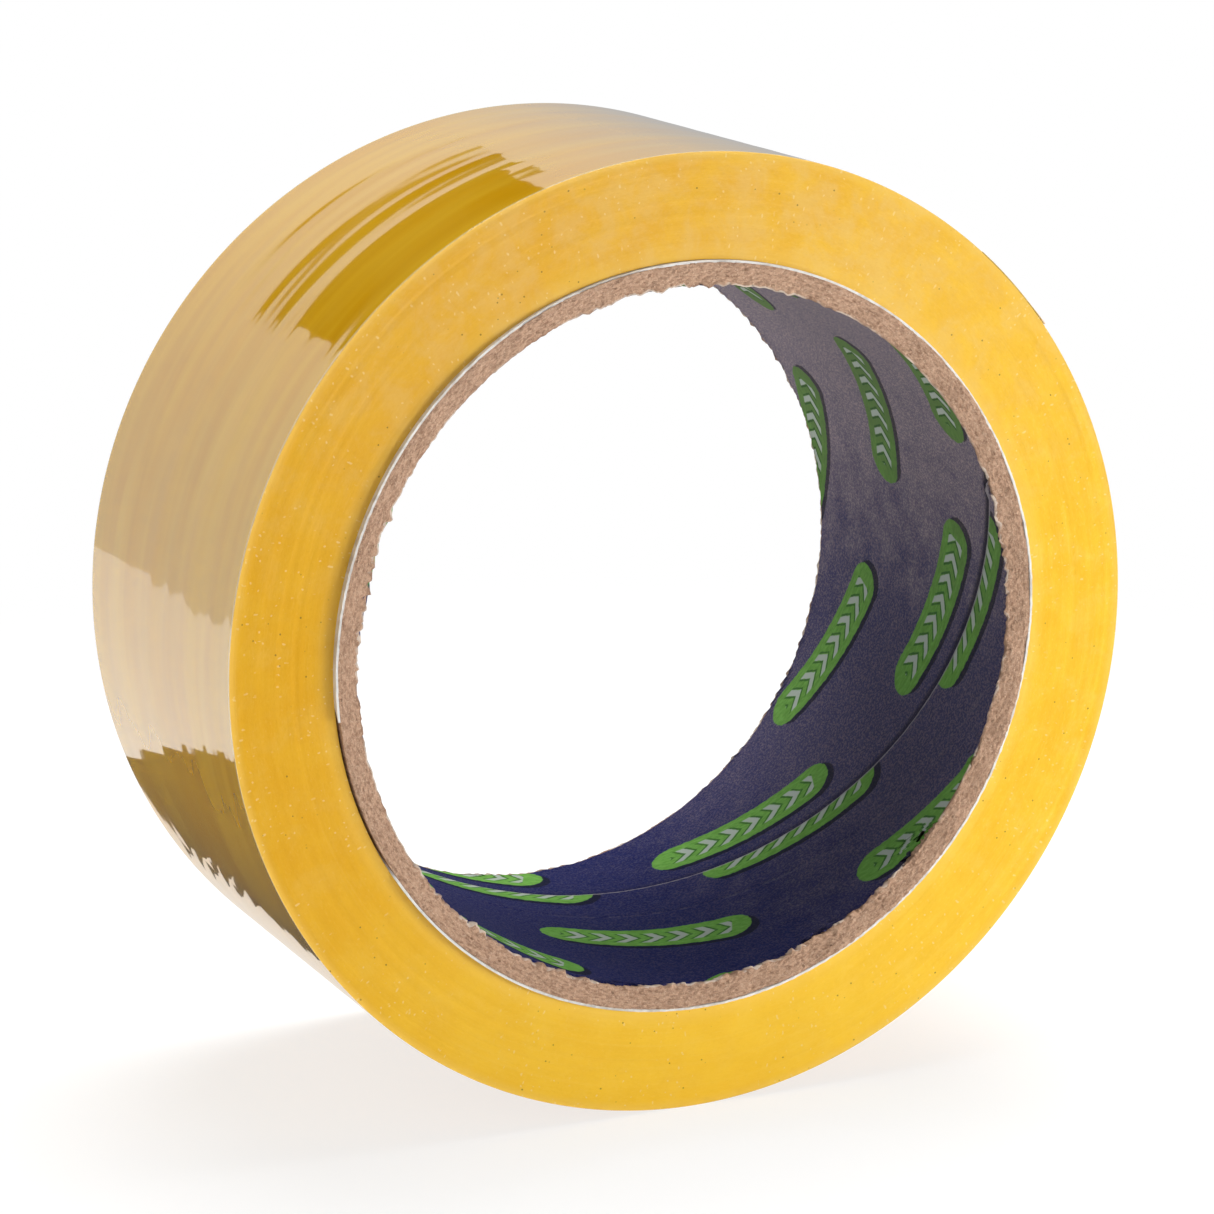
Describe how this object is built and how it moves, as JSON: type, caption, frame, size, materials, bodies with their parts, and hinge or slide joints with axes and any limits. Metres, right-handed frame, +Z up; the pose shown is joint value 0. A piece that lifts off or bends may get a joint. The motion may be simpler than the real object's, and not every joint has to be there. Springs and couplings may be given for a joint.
{
  "type": "adhesive tape roll",
  "caption": "Roll of clear adhesive tape wound on a spiral paperboard core, standing on its rim, with a printed liner in the bore and a free end that peels.",
  "frame": {"origin": "centre of the core's bore, halfway along it", "axes": "+Y along the bore axis, from the pictured face into the roll; +Z up, with the roll standing on its rim; +X to the right as the pictured face is seen"},
  "size_m": [0.1042, 0.046, 0.1042],
  "materials": {
    "liner_paper": "matte",
    "kraft_board": "matte",
    "cover_paper": "matte",
    "wound_film": "satin",
    "outer_film": "gloss"
  },
  "bodies": {
    "roll": {"printed_liner": "liner_paper", "kraft_ply_1": "kraft_board", "kraft_ply_2": "kraft_board", "kraft_ply_3": "kraft_board", "kraft_ply_4": "kraft_board", "kraft_ply_5": "kraft_board", "white_cover_ply": "cover_paper", "tape_windings": "wound_film", "tape_outer_turn": "outer_film"},
    "free_end": {"tape_free_end": "outer_film"}
  },
  "joints": [
    {"name": "free_end_peel", "type": "hinge", "parent": "roll", "child": "free_end", "pos_m": [0.03406, 0, 0.03946], "axis": [0, -1, 0], "range_deg": [0, 120]}
  ]
}
